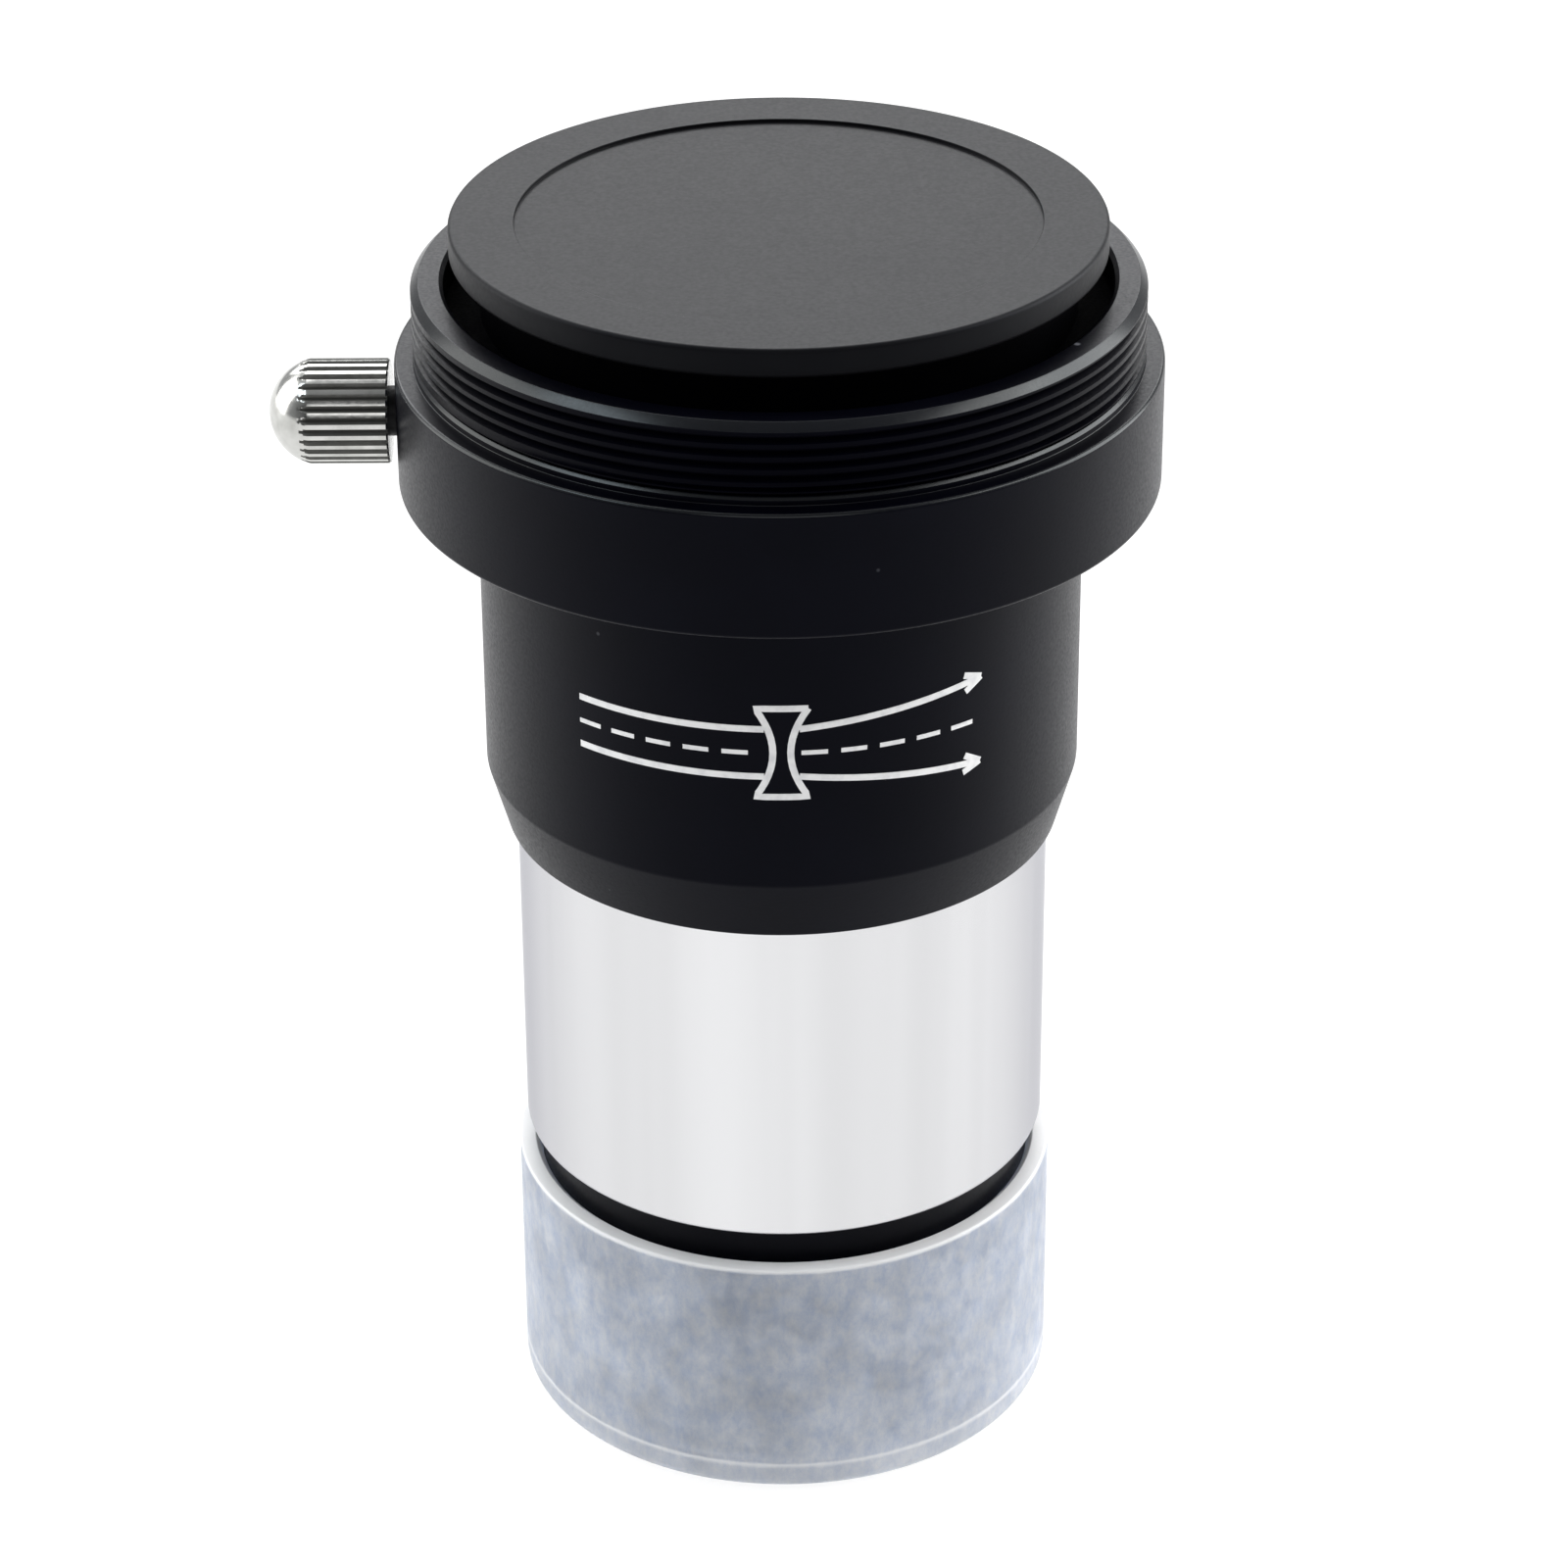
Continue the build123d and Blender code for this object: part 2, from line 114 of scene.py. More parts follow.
def threadRows(radius, low, high, thread, columns):
    # one right-handed groove that winds up from low to high, in mm
    angles = columnAngles(columns)
    pitch, groove, depth = thread["pitch"], thread["groove"], thread["depth"]
    corners = [
        (0.0, 0.0),
        (groove * 0.42, depth),
        (groove * 0.58, depth),
        (groove, 0.0),
    ]
    rows = []
    for winding in range(-1, math.ceil((high - low) / pitch) + 1):
        for along, drop in corners:
            height = low + pitch * (winding + angles / fullTurn) + along
            height = np.clip(height, low, high)
            fade = np.clip(np.minimum(height - low, high - height) / thread["fade"], 0, 1)
            rows.append(((radius - drop * fade) * mm, height * mm))
    return rows


def skinRows(name, rows, closed=True, columns=256):
    # rows are (radius, height), each a number or one value for each column
    angles = columnAngles(columns)
    verts = []
    for radius, height in rows:
        r = np.broadcast_to(radius, angles.shape)
        z = np.broadcast_to(height, angles.shape)
        verts.append(np.stack([r * np.cos(angles), r * np.sin(angles), z], 1))
    wide = columns + 1
    count = len(rows)
    faces = []
    for i in range(count if closed else count - 1):
        here, there = i * wide, (i + 1) % count * wide
        for j in range(columns):
            faces.append((here + j, here + j + 1, there + j + 1, there + j))
    mesh = bpy.data.meshes.new(name)
    mesh.from_pydata(np.concatenate(verts).tolist(), [], faces)
    tidyMesh(mesh)
    return mesh


def tidyMesh(mesh, sharp=34):
    work = bmesh.new()
    work.from_mesh(mesh)
    bmesh.ops.remove_doubles(work, verts=work.verts, dist=1e-7)
    bmesh.ops.dissolve_degenerate(work, edges=work.edges, dist=1e-8)
    bmesh.ops.recalc_face_normals(work, faces=work.faces)
    work.to_mesh(mesh)
    work.free()
    mesh.shade_smooth()
    mesh.set_sharp_from_angle(angle=math.radians(sharp))


def evenNormals(piece):
    # flat faces stay flat beside their rounded edges
    even = piece.modifiers.new("evenNormals", "WEIGHTED_NORMAL")
    even.keep_sharp = True
    even.weight = 60


def addPiece(name, mesh, body, material, nodes=(), place=None):
    piece = bpy.data.objects.new(name, mesh)
    scene.collection.objects.link(piece)
    if place is not None:
        piece.matrix_world = place
    mesh.materials.clear()
    mesh.materials.append(material)
    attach(piece, body)
    if nodes:
        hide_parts(*nodes)
    evenNormals(piece)
    return piece


# ---- material helpers

def addNode(tree, kind, values=None, **options):
    node = tree.nodes.new(kind)
    for option, value in options.items():
        setattr(node, option, value)
    for socket, value in (values or {}).items():
        node.inputs[socket].default_value = value
    return node


def newMaterial(name, finish):
    # finish holds the Principled sockets that are the same all over
    material = bpy.data.materials.new(name)
    material.use_nodes = True
    shader = material.node_tree.nodes["Principled BSDF"]
    for socket, value in finish.items():
        shader.inputs[socket].default_value = value
    return material, material.node_tree, shader


def surfacePlace(tree):
    return addNode(tree, "ShaderNodeTexCoord").outputs["Object"]


def ringPlace(tree):
    # radius and height alone, so a pattern runs round the axis as tool marks do
    split = addNode(tree, "ShaderNodeSeparateXYZ")
    tree.links.new(surfacePlace(tree), split.inputs[0])
    flat = addNode(tree, "ShaderNodeCombineXYZ")
    tree.links.new(split.outputs["X"], flat.inputs["X"])
    tree.links.new(split.outputs["Y"], flat.inputs["Y"])
    reach = addNode(tree, "ShaderNodeVectorMath", operation="LENGTH")
    tree.links.new(flat.outputs[0], reach.inputs[0])
    joined = addNode(tree, "ShaderNodeCombineXYZ")
    tree.links.new(reach.outputs["Value"], joined.inputs["X"])
    tree.links.new(split.outputs["Z"], joined.inputs["Z"])
    return joined.outputs[0]


def noise(tree, place, scale, detail=3.0, roughness=0.5):
    node = addNode(
        tree,
        "ShaderNodeTexNoise",
        {"Scale": scale, "Detail": detail, "Roughness": roughness},
    )
    tree.links.new(place, node.inputs["Vector"])
    return node.outputs["Fac"]


def ramp(tree, source, low, high, lowValue, highValue):
    # source between low and high becomes a value between lowValue and highValue
    node = addNode(
        tree,
        "ShaderNodeMapRange",
        {1: low, 2: high, 3: lowValue, 4: highValue},
    )
    tree.links.new(source, node.inputs[0])
    return node.outputs[0]


def blendColors(tree, source, first, second):
    node = addNode(tree, "ShaderNodeMix", data_type="RGBA")
    node.inputs[6].default_value = (*first, 1)
    node.inputs[7].default_value = (*second, 1)
    tree.links.new(source, node.inputs[0])
    return node.outputs[2]


def addBump(tree, shader, heights):
    # each height is (source, strength, distance in mm), stacked one on the other
    last = None
    for source, strength, distance in heights:
        bump = addNode(tree, "ShaderNodeBump", {"Strength": strength, "Distance": distance * mm})
        tree.links.new(source, bump.inputs["Height"])
        if last is not None:
            tree.links.new(last, bump.inputs["Normal"])
        last = bump.outputs["Normal"]
    tree.links.new(last, shader.inputs["Normal"])


def dustOver(tree, place, color, dust):
    # a few pale specks of dust over a dark colour
    cells = addNode(tree, "ShaderNodeTexVoronoi", {"Scale": dust["scale"]})
    tree.links.new(place, cells.inputs["Vector"])
    near = ramp(tree, cells.outputs["Distance"], dust["size"], dust["size"] * 0.5, 0, 1)
    split = addNode(tree, "ShaderNodeSeparateColor")
    tree.links.new(cells.outputs["Color"], split.inputs[0])
    few = ramp(tree, split.outputs[0], dust["share"], dust["share"] * 0.98, 0, dust["strength"])
    both = addNode(tree, "ShaderNodeMath", operation="MULTIPLY")
    tree.links.new(near, both.inputs[0])
    tree.links.new(few, both.inputs[1])
    mix = addNode(tree, "ShaderNodeMix", data_type="RGBA")
    tree.links.new(both.outputs[0], mix.inputs[0])
    tree.links.new(color, mix.inputs[6])
    mix.inputs[7].default_value = (*dust["color"], 1)
    return mix.outputs[2]


# ---- camera and studio

studio = {
    "cameraReach": 270.68,       # mm in front of the optical axis
    "cameraHeight": 187.93,
    "cameraAside": 0.114,
    "cameraDown": 28.656,        # degrees below the horizon
    "cameraRoll": -0.336,
    "lens": 117.97,
    "floorColor": (0.16, 0.16, 0.16),
    "floorGlow": 0.86,
    "skyStrength": 0.55,
    "darkSide": 0.15,            # the sky behind the camera, as a share
    "floorSize": 6.0,
    "floorGap": 0.02,            # mm, so the base and the paper don't share a plane
}

camera = bpy.data.objects.new("studioCamera", bpy.data.cameras.new("studioCamera"))
scene.collection.objects.link(camera)
camera.data.lens = studio["lens"]
camera.data.sensor_width = 36
camera.data.clip_start = 0.01
camera.data.clip_end = 20
camera.location = (
    studio["cameraAside"] * mm,
    -studio["cameraReach"] * mm,
    studio["cameraHeight"] * mm,
)
tilt = Matrix.Rotation(math.radians(90 - studio["cameraDown"]), 4, "X")
roll = Matrix.Rotation(math.radians(studio["cameraRoll"]), 4, "Z")
camera.rotation_euler = (tilt @ roll).to_euler()
scene.camera = camera

floorMesh = bpy.data.meshes.new("studioFloor")
half = studio["floorSize"] / 2
ground = cadLow.z - studio["floorGap"] * mm
floorMesh.from_pydata(
    [(-half, -half, ground), (half, -half, ground), (half, half, ground), (-half, half, ground)],
    [],
    [(0, 1, 2, 3)],
)
floor = bpy.data.objects.new("studioFloor", floorMesh)
scene.collection.objects.link(floor)
floorPaint, floorTree, floorShader = newMaterial(
    "palePaper",
    {
        "Base Color": (*studio["floorColor"], 1),
        "Roughness": 0.9,
        "Emission Color": (1, 1, 1, 1),
        "Emission Strength": studio["floorGlow"],
    },
)
paperGrain = noise(floorTree, surfacePlace(floorTree), 900, 4)
addBump(floorTree, floorShader, [(paperGrain, 0.05, 0.05)])
floorMesh.materials.append(floorPaint)

sky = bpy.data.worlds.new("softSky")
scene.world = sky
sky.use_nodes = True
skyShade = sky.node_tree.nodes["Background"]
skyShade.inputs["Color"].default_value = (0.97, 0.985, 1, 1)
skyPlace = addNode(sky.node_tree, "ShaderNodeTexCoord")
skySplit = addNode(sky.node_tree, "ShaderNodeSeparateXYZ")
sky.node_tree.links.new(skyPlace.outputs["Generated"], skySplit.inputs[0])
skyFade = ramp(
    sky.node_tree, skySplit.outputs["Y"], -0.85, -0.1,
    studio["darkSide"] * studio["skyStrength"], studio["skyStrength"],
)
sky.node_tree.links.new(skyFade, skyShade.inputs["Strength"])

lamps = [
    # name, where it hangs in metres, size, watts, colour
    ("overheadPanel", (-0.1, 0.4, 1.0), (0.8, 0.6), 3, (1, 1, 1)),
    ("rearPanel", (-0.1, 1.25, 0.8), (1.8, 0.7), 12, (1, 1, 1)),
    ("leftPanel", (-0.95, 0.25, 0.4), (0.8, 0.9), 6.5, (1, 0.99, 0.97)),
    ("rightPanel", (0.95, 0.3, 0.4), (0.8, 0.9), 10, (0.99, 0.995, 1)),
    ("leftSoftbox", (-0.8, -0.22, 1.0), (0.62, 0.3), 2.6, (0.84, 0.93, 1)),
    ("rightSoftbox", (0.84, -0.12, 0.94), (0.75, 0.3), 3, (1, 0.98, 0.97)),
    ("frontCard", (0, -1.1, 0.6), (0.9, 0.5), 2.2, (1, 1, 1)),
]
aim = (cadLow + cadHigh) / 2
for name, where, size, watts, color in lamps:
    light = bpy.data.lights.new(name, "AREA")
    light.shape = "RECTANGLE"
    light.size, light.size_y = size
    light.energy = watts
    light.color = color
    lamp = bpy.data.objects.new(name, light)
    lamp.location = where
    lamp.rotation_euler = (aim - Vector(where)).to_track_quat("-Z", "Y").to_euler()
    scene.collection.objects.link(lamp)

scene.view_settings.view_transform = "Standard"
scene.view_settings.look = "None"
scene.view_settings.gamma = 0.88
print("studio ready")


# ---- eyepiece holder: one black turning with a wound camera thread

holder = {
    "bodyWall": 1.7,
    "taperStep": 0.625,
    "taperHeight": 3.85,
    "bodyLength": 21.85,
    "collarHeight": 7.55,
    "collarEdge": 0.26,
    "spigotStep": 0.775,
    "spigotGap": 0.05,
    "socketDepth": 5.3,
    "groove": 5.2,               # the clamp ring's groove
    "grooveStep": 1.45,
    "counterboreWall": 1.9,
    "counterboreDepth": 2.0,
    "relief": 0.6,
    "reliefHeight": 0.7,
    "leadIn": 0.45,
    "shoulder": 0.5,             # the low ring the thread runs out above
    "shoulderChamfer": 0.17,
    "edge": 0.18,
    "columns": 320,
}
cameraThread = {"pitch": 0.75, "groove": 0.49, "depth": 0.42, "fade": 0.12}
black = {
    "color": (0.0009, 0.001, 0.0034),
    "paler": (0.0018, 0.002, 0.0055),
    "roughnessLow": 0.3,
    "roughnessHigh": 0.42,
    "specular": 0.5,
    "gloss": (0.12, 0.125, 0.155),
    "grain": 5200,
    "bump": 0.16,
    "ringMarks": 9000,
    "dust": {"scale": 190, "size": 0.045, "share": 0.16, "strength": 0.5, "color": (0.3, 0.31, 0.34)},
}

holderLow, holderHigh = (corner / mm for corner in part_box("eyepiece_holder"))
boreRadius = mounts["eyepiece_socket"]["dims"]["r_mm"]
threadRadius = mounts["camera_thread"]["dims"]["r_mm"]
barrelRadius = mounts["nosepiece"]["dims"]["r_mm"]
bodyRadius = boreRadius + holder["bodyWall"]
collarRadius = holderHigh.y
holderBottom, holderTop = holderLow.z, holderHigh.z
taperTop = holderBottom + holder["taperHeight"]
collarBottom = holderBottom + holder["bodyLength"]
collarTop = collarBottom + holder["collarHeight"]
screwHeight = (collarBottom + collarTop) / 2
socketRadius = barrelRadius - holder["spigotStep"] + holder["spigotGap"]
socketTop = holderBottom + holder["socketDepth"]
reliefRadius = threadRadius - holder["relief"]
reliefTop = collarTop + holder["reliefHeight"]
shoulderTop = collarTop + holder["shoulder"]
counterboreRadius = threadRadius - holder["counterboreWall"]
counterboreFloor = holderTop - holder["counterboreDepth"]
grooveRadius = boreRadius + holder["grooveStep"]
grooveLow = screwHeight - holder["groove"] / 2
grooveHigh = screwHeight + holder["groove"] / 2


def roughen(tree, shader, texture, low, high):
    tree.links.new(ramp(tree, texture, 0.3, 0.7, low, high), shader.inputs["Roughness"])


def blackAnodise(name, look):
    material, tree, shader = newMaterial(
        name,
        {
            "Metallic": 0.0,
            "Specular IOR Level": look["specular"],
            "Specular Tint": (*look["gloss"], 1),
            "IOR": 1.5,
        },
    )
    place = surfacePlace(tree)
    rings = ringPlace(tree)
    cloud = noise(tree, place, 160, 3)
    color = blendColors(tree, ramp(tree, cloud, 0.35, 0.7, 0, 1), look["color"], look["paler"])
    color = dustOver(tree, place, color, look["dust"])
    tree.links.new(color, shader.inputs["Base Color"])
    fine = noise(tree, place, look["grain"], 2)
    rough = ramp(tree, fine, 0.3, 0.7, look["roughnessLow"], look["roughnessHigh"])
    tree.links.new(rough, shader.inputs["Roughness"])
    marks = noise(tree, rings, look["ringMarks"], 2)
    addBump(tree, shader, [(fine, look["bump"], 0.02), (marks, 0.1, 0.012)])
    return material


anodised = blackAnodise("blackAnodised", black)
# a darker, duller black: painted shade under the cap's flange, and the matt black inside the bore that
# also paints shade into the counterbore
mattShadeBlack = dict(
    black,
    specular=0.03,
    gloss=(0.8, 0.8, 1),
    roughnessLow=0.7,
    roughnessHigh=0.9,
    color=(0.0006, 0.0006, 0.001),
    paler=(0.0012, 0.0012, 0.0018),
)
mattShadeInside = blackAnodise("mattShadeBlackInside", mattShadeBlack)
polished = dict(black, gloss=(0.95, 1, 1), bump=0.04, roughnessLow=0.22, roughnessHigh=0.27)
cutEdge = blackAnodise("cutEdgeBlack", polished)
threadBlack = blackAnodise("threadBlack", dict(black, gloss=(0.035, 0.035, 0.045)))

edge = holder["edge"]
upTheOutside = softOutline([
    (socketRadius, socketTop, 0.05),
    (socketRadius, holderBottom, 0.15),
    (barrelRadius + holder["taperStep"], holderBottom, edge),
    (bodyRadius, taperTop, 0.8),
    (bodyRadius, collarBottom, 0.12),
    (collarRadius, collarBottom, holder["collarEdge"]),
    (collarRadius, collarTop, holder["collarEdge"]),
    (threadRadius, collarTop, 0.04),
    (threadRadius, shoulderTop - holder["shoulderChamfer"], 0.02),
    (threadRadius - holder["shoulderChamfer"], shoulderTop, 0.02),
    (reliefRadius, shoulderTop, 0.05),
    (reliefRadius, reliefTop, 0.04),
    (threadRadius, reliefTop, 0.05),
    (threadRadius, reliefTop + 0.1),
], closed=False)
downTheInside = softOutline([
    (threadRadius, holderTop - holder["leadIn"] - 0.02),
    (threadRadius, holderTop - holder["leadIn"], 0.05),
    (threadRadius - holder["leadIn"], holderTop, 0.08),
    (counterboreRadius + 0.25, holderTop, 0.08),
    (counterboreRadius, holderTop - 0.25, 0.08),
    (counterboreRadius, counterboreFloor, 0.15),
    (boreRadius, counterboreFloor, 0.2),
    (boreRadius, grooveHigh, 0.05),
    (grooveRadius, grooveHigh, 0.1),
    (grooveRadius, grooveLow, 0.1),
    (boreRadius, grooveLow, 0.05),
    (boreRadius, socketTop, 0.1),
    (socketRadius + 0.02, socketTop, 0.0),
], closed=False)
wound = threadRows(
    threadRadius,
    reliefTop + 0.12,
    holderTop - holder["leadIn"] - 0.04,
    cameraThread,
    holder["columns"],
)
holderMesh = skinRows(
    "holderTurning", upTheOutside + wound + downTheInside[:-1], True, holder["columns"]
)
print("holder turned:", len(holderMesh.polygons), "faces")


# ---- the thumbscrew's tapped hole, cut through the collar

studBox = [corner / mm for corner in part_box("thumbscrew_stud")]
knobBox = [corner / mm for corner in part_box("thumbscrew_knob")]
studRadius = studBox[1].y
holeRadius = studRadius + 0.05
alongScrew = Matrix(((0, 0, -1, 0), (0, 1, 0, 0), (1, 0, 0, screwHeight * mm), (0, 0, 0, 1)))

cutterColumns = 96
cutterMesh = skinRows(
    "holeCutter",
    softOutline([(0, 10), (holeRadius, 10), (holeRadius, 25), (0, 25)], closed=False),
    closed=False,
    columns=cutterColumns,
)
cutter = bpy.data.objects.new("holeCutter", cutterMesh)
# half a column round, so that no corner of the hole lies on one of the holder's own edges
cutter.matrix_world = alongScrew @ Matrix.Rotation(math.pi / cutterColumns, 4, "Z")
scene.collection.objects.link(cutter)
holderPiece = addPiece(
    "holderTurning", holderMesh, "holder", anodised, ["eyepiece_holder"]
)
holderPiece.modifiers.clear()
drill = holderPiece.modifiers.new("drill", "BOOLEAN")
drill.object = cutter
drill.operation = "DIFFERENCE"
drill.solver = "EXACT"
bpy.context.view_layer.update()
drilled = bpy.data.meshes.new_from_object(
    holderPiece.evaluated_get(bpy.context.evaluated_depsgraph_get())
)
holderPiece.modifiers.clear()
holderPiece.data = drilled
drilled.name = "holderTurning"
drilled.materials.clear()
drilled.materials.append(anodised)
drilled.shade_smooth()
drilled.set_sharp_from_angle(angle=math.radians(34))
evenNormals(holderPiece)
drilled.materials.append(mattShadeInside)
drilled.materials.append(cutEdge)
drilled.materials.append(threadBlack)


def holderFinish(face):
    # which of the holder's finishes a face takes, from where it lies
    reach = [math.hypot(*drilled.vertices[v].co.xy) / mm for v in face.vertices]
    height, slope = face.center.z / mm, face.normal.z
    rimLow = holderTop - holder["leadIn"] - 0.06
    # faces inside the bore take the matt black, which also paints shade into the counterbore under the
    # cap
    if max(reach) < counterboreRadius + 0.05:
        facingIn = face.normal.xy.dot(face.center.xy) < 1e-6
        return 1 if facingIn and height > socketTop - 0.1 else 0
    outside = min(reach) > reliefRadius - 0.05
    if outside and height > collarTop - holder["collarEdge"] and 0.25 < slope < 0.97:
        if height > rimLow or height < shoulderTop:
            return 2
    if outside and reliefTop < height < rimLow:
        return 3
    return 0


for face in drilled.polygons:
    face.material_index = holderFinish(face)
bpy.data.objects.remove(cutter)
print("collar drilled:", len(drilled.polygons), "faces")


# ---- nosepiece: bright plated barrel

barrel = {
    "wall": 2.275,
    "edge": 0.35,
    "threadRadius": 14.25,
    "threadDepth": 4.8,
    "color": (0.765, 0.765, 0.775),
    "shade": (0.68, 0.68, 0.69),
    "roughnessLow": 0.22,
    "roughnessHigh": 0.27,
    "ringMarks": 14000,
    "columns": 320,
}
barrelLow, barrelHigh = (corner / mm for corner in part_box("nosepiece_barrel"))
spigotRadius = barrelRadius - holder["spigotStep"]
barrelBore = barrelRadius - barrel["wall"]

plated, tree, shader = newMaterial(
    "platedBarrel",
    {"Metallic": 1.0, "Anisotropic": 0.35, "Specular Tint": (0.66, 0.66, 0.69, 1)},
)
rings = ringPlace(tree)
place = surfacePlace(tree)
stretched = addNode(tree, "ShaderNodeMapping", {"Scale": (1, 1, 0.015)})
tree.links.new(place, stretched.inputs["Vector"])
cloud = noise(tree, stretched.outputs[0], 150, 3)   # drawn along the tube
tree.links.new(
    blendColors(tree, ramp(tree, cloud, 0.35, 0.65, 0, 1), barrel["color"], barrel["shade"]),
    shader.inputs["Base Color"],
)
marks = noise(tree, rings, barrel["ringMarks"], 3)
roughen(tree, shader, marks, barrel["roughnessLow"], barrel["roughnessHigh"])
addBump(tree, shader, [(marks, 0.02, 0.003), (noise(tree, place, 2600, 2), 0.03, 0.01)])

barrelRows = softOutline([
    (barrel["threadRadius"], barrelLow.z, 0.2),
    (barrelRadius, barrelLow.z, barrel["edge"]),
    (barrelRadius, holderBottom, 0.1),
    (spigotRadius, holderBottom, 0.05),
    (spigotRadius, barrelHigh.z, 0.25),
    (barrelBore, barrelHigh.z, 0.25),
    (barrelBore, barrelLow.z + barrel["threadDepth"], 0.1),
    (barrel["threadRadius"], barrelLow.z + barrel["threadDepth"], 0.1),
])
addPiece(
    "nosepieceBarrel",
    skinRows("nosepieceBarrel", barrelRows, True, barrel["columns"]),
    "holder", plated, ["nosepiece_barrel"],
)
print("nosepiece done")


# ---- lens cell, with its wound stub thread and filter mouth

cell = {
    "stubGap": 0.05,
    "stubWall": 1.6,
    "mouthDepth": 3.5,
    "seatBelowTop": 2.45,
    "seatThickness": 1.0,
    "seatLedge": 0.8,
    "ringStep": 0.4,
    "edge": 0.25,
    "columns": 256,
}
stubThread = {"pitch": 0.6, "groove": 0.42, "depth": 0.28, "fade": 0.1}
cellBlack = dict(black, color=(0.0012, 0.0013, 0.0028), paler=(0.003, 0.003, 0.0045))
cellLow, cellHigh = (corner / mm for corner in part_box("lens_cell"))
cellRadius = cellHigh.x
cellTop = barrelLow.z
mouthRadius = mounts["filter_thread"]["dims"]["r_mm"]
stubRadius = mouthRadius - cell["stubGap"]
stubBore = stubRadius - cell["stubWall"]
seat = cellTop - cell["seatBelowTop"]
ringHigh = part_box("lens_retaining_ring")[1] / mm
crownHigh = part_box("crown_lens")[1] / mm
lensPocket = crownHigh.x + 0.05
ringPocket = lensPocket + cell["ringStep"]
seatRadius = crownHigh.x - cell["seatLedge"]

cellUp = softOutline([
    (mouthRadius, cellLow.z + 2),
    (mouthRadius, cellLow.z + 0.3, 0.03),
    (mouthRadius + 0.3, cellLow.z, 0.06),
    (cellRadius, cellLow.z, cell["edge"]),
    (cellRadius, cellTop, cell["edge"]),
    (stubRadius, cellTop, 0.08),
    (stubRadius, cellTop + 0.25),
], closed=False)
cellDown = softOutline([
    (stubRadius, cellHigh.z - 0.32),
    (stubRadius, cellHigh.z - 0.3, 0.05),
    (stubRadius - 0.3, cellHigh.z, 0.08),
    (stubBore, cellHigh.z, 0.15),
    (stubBore, seat + cell["seatThickness"], 0.15),
    (seatRadius, seat + cell["seatThickness"], 0.1),
    (seatRadius, seat, 0.04),
    (lensPocket, seat, 0.04),
    (lensPocket, ringHigh.z + 0.02, 0.02),
    (ringPocket, ringHigh.z + 0.02, 0.05),
    (ringPocket, cellLow.z + cell["mouthDepth"], 0.1),
    (mouthRadius, cellLow.z + cell["mouthDepth"], 0.05),
    (mouthRadius, cellLow.z + cell["mouthDepth"] - 0.1),
], closed=False)
stubWound = threadRows(
    stubRadius, cellTop + 0.3, cellHigh.z - 0.34, stubThread, cell["columns"]
)
cellPaint = blackAnodise("cellBlack", cellBlack)
addPiece(
    "lensCell",
    skinRows("lensCell", cellUp + stubWound + cellDown, True, cell["columns"]),
    "cell", cellPaint, ["lens_cell"],
)
print("lens cell done")


# ---- thumbscrew: fluted, domed knob on a black wound stud

knob = {
    "radius": 3.05,
    "flutes": 28,
    "fluteDepth": 0.2,
    "fluteLength": 4.6,
    "domeLength": 2.4,
    "domeSteps": 44,
    "rowStep": 0.25,
    "rows": 16,
    "shadeDepth": 0.12,          # share of a flute's depth that stays free of the painted shade
    "shadeRunout": 1.2,
    "edge": 0.1,
    "landSteps": 5,
    "color": (0.64, 0.64, 0.62),
    "shade": (0.5, 0.5, 0.48),
    # the painted shade colour in the flutes
    "groove": (0.16, 0.16, 0.155),
    "roughnessLow": 0.12,
    "roughnessHigh": 0.22,
}
knobRadius = knob["radius"]
knobInner = -knobBox[1].x
dome = (knobRadius**2 + knob["domeLength"] ** 2) / (2 * knob["domeLength"])


def knobProfile():
    # (distance along the screw, radius), from the collar side to the tip
    flutesEnd = knobInner + knob["fluteLength"]
    along = [(knobInner, knobRadius - knob["edge"]), (knobInner + knob["edge"], knobRadius)]
    for i in range(1, knob["rows"] + 1):
        along.append((knobInner + knob["edge"] + knob["rowStep"] * i, knobRadius))
    steps = knob["domeSteps"]
    for i in range(steps + 1):
        x = flutesEnd + knob["domeLength"] * math.sin(math.pi / 2 * i / steps)
        fall = x - flutesEnd
        radius = math.sqrt(max(dome**2 - (fall + dome - knob["domeLength"]) ** 2, 0))
        along.append((x, min(radius, knobRadius)))
    return along


def flutedMesh(name):
    half = knob["fluteDepth"] / knobRadius
    step = fullTurn / knob["flutes"]
    angles, floors = [], []
    for flute in range(knob["flutes"]):
        middle = flute * step
        for share in (-1, -0.5, 0, 0.5):
            angles.append(middle + half * share)
            floors.append(knobRadius - knob["fluteDepth"] * (1 - abs(share)))
        for land in range(knob["landSteps"]):
            share = land / knob["landSteps"]
            angles.append(middle + half + (step - 2 * half) * share)
            floors.append(knobRadius)
    angles = np.array(angles)
    floors = np.array(floors)
    profile = [(knobInner, 0.0)] + knobProfile()
    verts = []
    for along, radius in profile:
        r = np.minimum(floors, radius)
        verts.append(
            np.stack([r * np.cos(angles), r * np.sin(angles), angles * 0 + along], 1) * mm
        )
    wide = len(angles)
    faces = []
    for i in range(len(profile) - 1):
        for j in range(wide):
            k = (j + 1) % wide
            faces.append((i * wide + j, i * wide + k, (i + 1) * wide + k, (i + 1) * wide + j))
    mesh = bpy.data.meshes.new(name)
    mesh.from_pydata(np.concatenate(verts).tolist(), [], faces)
    tidyMesh(mesh, 28)
    return mesh


